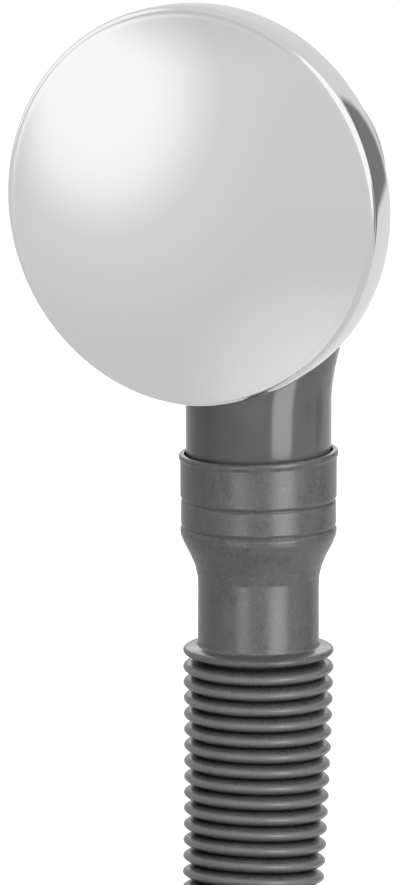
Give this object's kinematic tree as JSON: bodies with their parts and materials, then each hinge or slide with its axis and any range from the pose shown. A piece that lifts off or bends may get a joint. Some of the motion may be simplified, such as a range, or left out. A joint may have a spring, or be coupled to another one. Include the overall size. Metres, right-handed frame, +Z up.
{
  "type": "pop-up sink drain",
  "caption": "Pop-up drain: domed chrome knob on an overflow head, ribbed plastic hose with socket ends, waste body with a lifting plug.",
  "frame": {"origin": "on the knob's axis, in the plane where the rear gasket meets the back of the sink's wall", "axes": "+Z up, the knob faces -Y, +X is to the right seen from the front"},
  "size_m": [0.0734, 0.1859, 0.2687],
  "materials": {
    "chrome": "polished chrome plate",
    "steel": "machined stainless steel",
    "brass": "turned brass",
    "grey_plastic": "satin moulded polypropylene",
    "hose_plastic": "satin blow-moulded polypropylene",
    "white_plastic": "plain moulded acetal",
    "rubber": "matt moulded rubber"
  },
  "bodies": {
    "housing": {"overflow_bush": "grey_plastic", "front_gasket": "rubber", "rear_gasket": "rubber", "overflow_body": "grey_plastic", "upper_seal": "rubber", "lower_seal": "rubber", "overflow_hose": "hose_plastic", "cable_holder": "white_plastic", "cable_ferrule": "brass", "cable_sheath": "rubber", "cable_guide": "white_plastic", "rocker_pin": "steel", "waste_body": "grey_plastic", "lower_gasket": "rubber", "upper_gasket": "rubber", "waste_flange": "chrome", "hollow_bolt": "brass"},
    "knob": {"knob_cap": "chrome", "knob_carrier": "grey_plastic", "knob_screw": "steel", "spindle": "steel", "spindle_clip": "steel", "cable_wheel": "brass"},
    "core": {"cable_core": "steel"},
    "pusher": {"cable_pusher": "steel"},
    "lever": {"rocker": "white_plastic"},
    "plug": {"plug_cap": "chrome", "plug_seal": "rubber", "plug_retainer": "white_plastic", "plug_stem": "brass", "stem_nut": "brass", "stem_foot": "white_plastic"}
  },
  "joints": [
    {"name": "knob_turn", "type": "hinge", "parent": "housing", "child": "knob", "pos_m": [0, 0, 0], "axis": [0, 1, 0], "range_deg": [0, 90]},
    {"name": "core_slide", "type": "slide", "parent": "housing", "child": "core", "axis": [0, 0, -1], "range_m": [0, 0.0103]},
    {"name": "pusher_slide", "type": "slide", "parent": "housing", "child": "pusher", "axis": [0, -1, 0], "range_m": [0, 0.0103]},
    {"name": "rocker_turn", "type": "hinge", "parent": "housing", "child": "lever", "pos_m": [0, -0.107, -0.177], "axis": [-1, 0, 0], "range_deg": [0, 45.5]},
    {"name": "plug_lift", "type": "slide", "parent": "housing", "child": "plug", "axis": [0, 0, 1], "range_m": [0, 0.0103]}
  ],
  "couplings": [
    {"joint": "core_slide", "follows": "knob_turn", "m_per_rad": 0.0065},
    {"joint": "pusher_slide", "follows": "knob_turn", "m_per_rad": 0.0065},
    {"joint": "rocker_turn", "follows": "knob_turn", "ratio": 0.5},
    {"joint": "plug_lift", "follows": "knob_turn", "m_per_rad": 0.0065}
  ]
}
